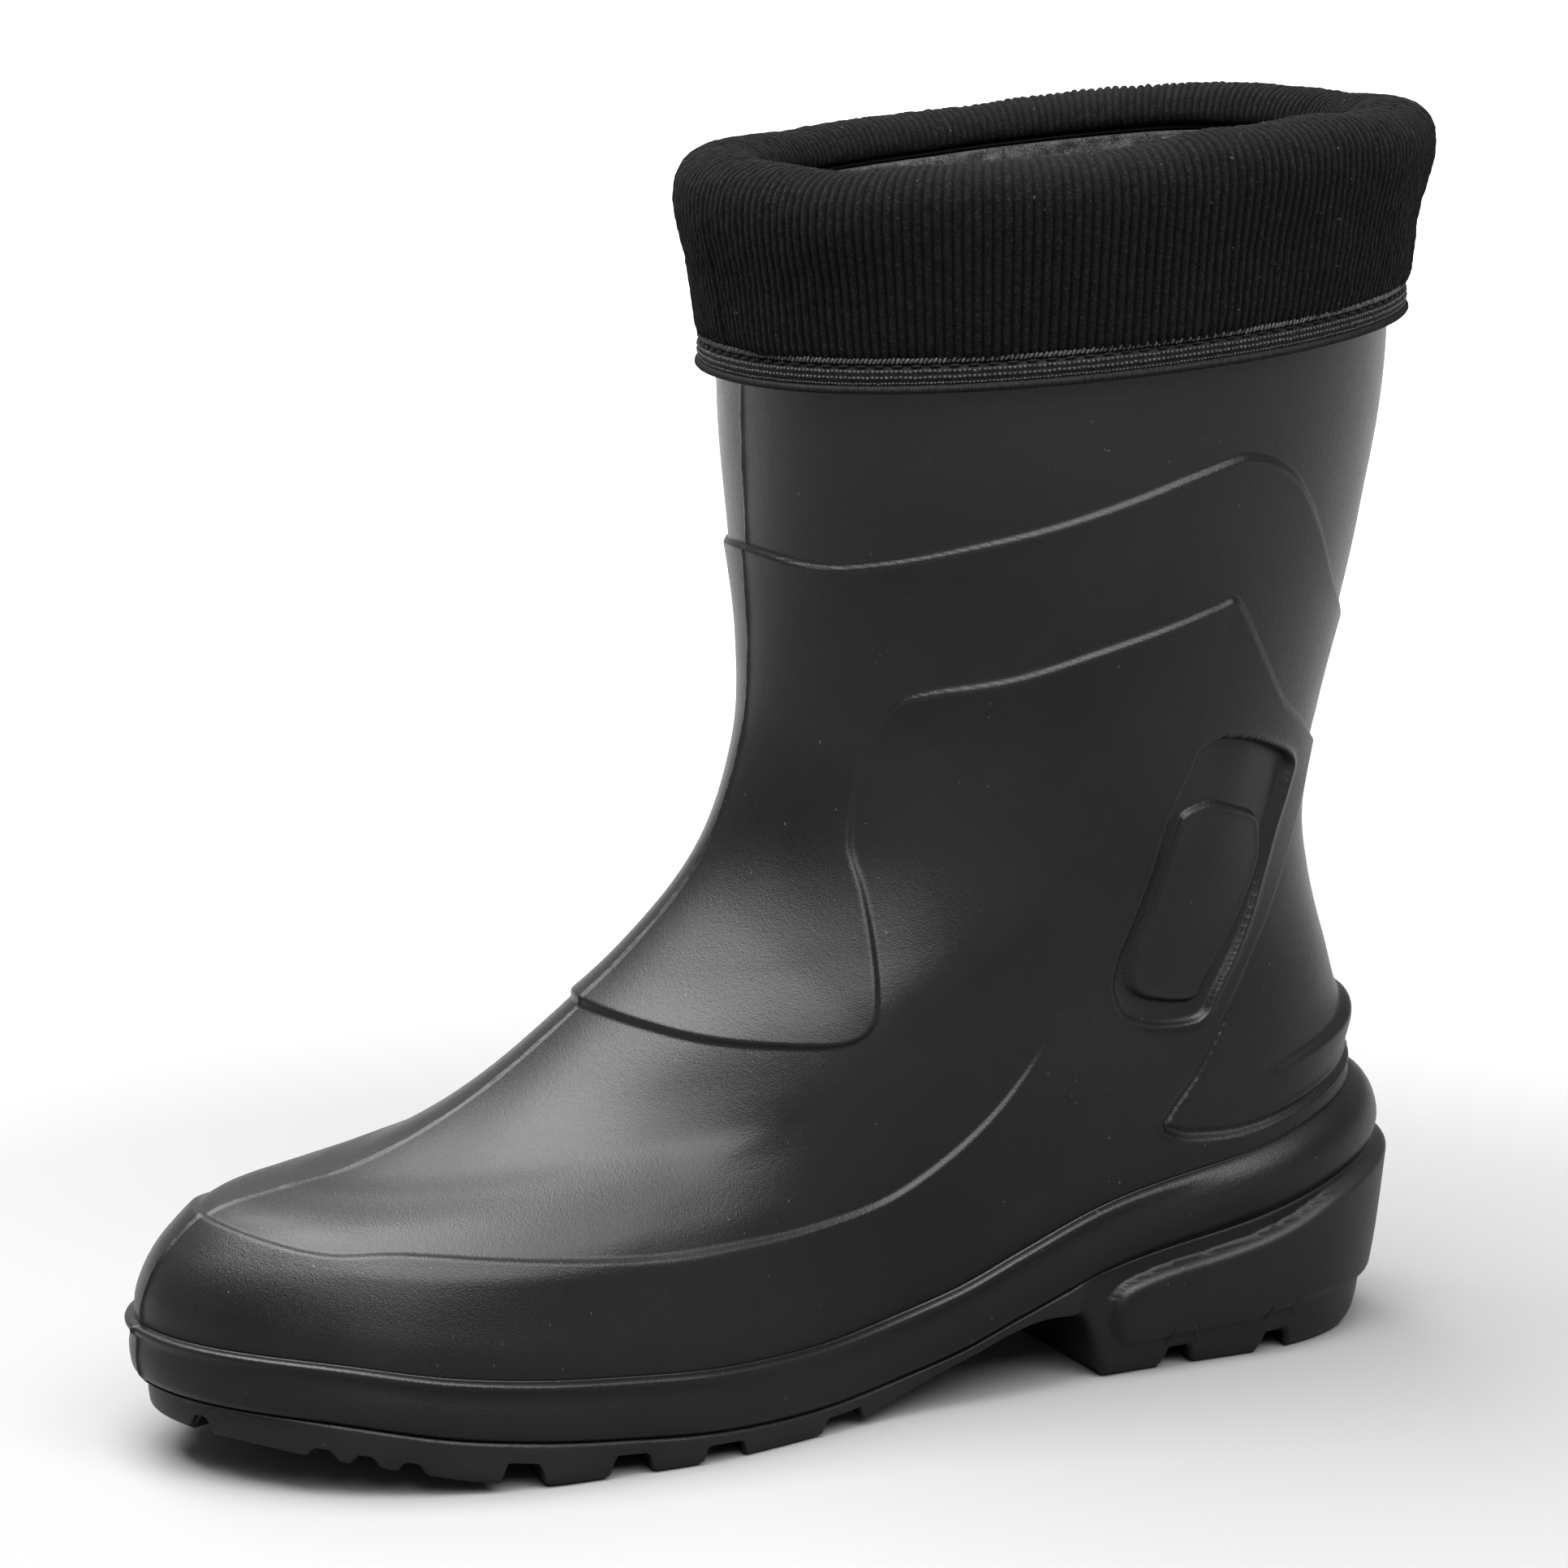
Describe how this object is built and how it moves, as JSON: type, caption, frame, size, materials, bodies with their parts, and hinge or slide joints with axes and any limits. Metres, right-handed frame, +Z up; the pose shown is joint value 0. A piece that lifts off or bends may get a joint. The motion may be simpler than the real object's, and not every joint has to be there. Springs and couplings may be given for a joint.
{
  "type": "rubber stable boot",
  "caption": "Mid-calf moulded foam-rubber boot with lugged sole and a removable fleece sock liner whose ribbed cuff folds out over the top.",
  "frame": {"origin": "on the ground, under the middle of the boot's overall length and width", "axes": "+Z up, toe towards -Y, heel towards +Y, outer side of the foot towards +X (left boot)"},
  "size_m": [0.1332, 0.2954, 0.2704],
  "materials": {
    "rubber_upper": "satin black moulded foam rubber with a fine orange-peel grain",
    "rubber_sole": "matte black moulded foam rubber",
    "fleece": "charcoal brushed fleece",
    "ribbed_cuff": "black ribbed plush with narrow upright ribs",
    "thread": "charcoal woven binding and sewing thread with a slight sheen"
  },
  "bodies": {
    "boot": {"boot_shell": "rubber_upper", "outsole": "rubber_sole", "insole": "fleece"},
    "liner": {"liner_outer_half": "fleece", "liner_inner_half": "fleece", "liner_sole": "fleece", "liner_front_seam": "fleece", "liner_back_seam": "fleece", "liner_join_seam": "thread", "cuff": "ribbed_cuff", "hem_overlock": "thread", "hem_band": "thread", "hem_roll": "thread"}
  },
  "joints": [
    {"name": "liner_lift", "type": "slide", "parent": "boot", "child": "liner", "axis": [0, 0, 1], "range_m": [0, 0.27], "deforming": ["liner_outer_half", "liner_inner_half", "liner_sole", "liner_front_seam", "liner_back_seam"]}
  ]
}
